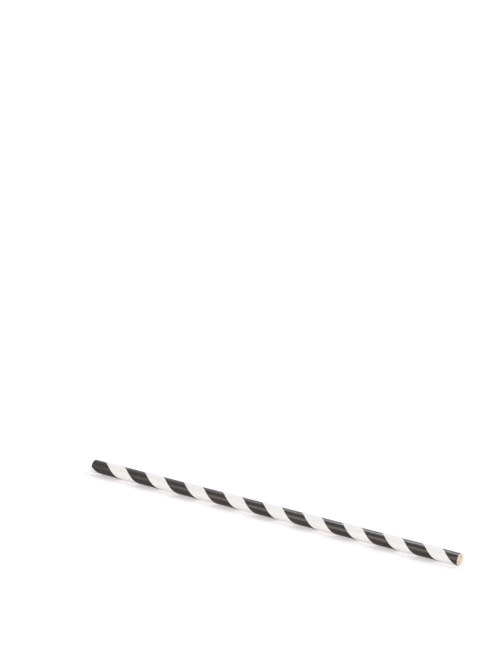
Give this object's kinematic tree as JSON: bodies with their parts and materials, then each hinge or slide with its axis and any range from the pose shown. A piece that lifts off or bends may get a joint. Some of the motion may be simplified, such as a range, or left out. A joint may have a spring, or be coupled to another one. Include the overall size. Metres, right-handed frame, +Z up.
{
  "type": "paper drinking straw",
  "caption": "Straight round paper drinking straw, spirally wound from paper tape, with a black and white spiral stripe and square cut ends.",
  "frame": {"origin": "under the middle of the straw, on the surface that it lies on", "axes": "+X along the straw from its left cut end to its right one, +Z up, +Y across to the back"},
  "size_m": [0.197, 0.006, 0.0059],
  "materials": {
    "printed_paper": "matte paper, printed with a satin black spiral stripe outside and bare cream paper inside"
  },
  "bodies": {
    "root": {"straw": "printed_paper"}
  },
  "joints": []
}
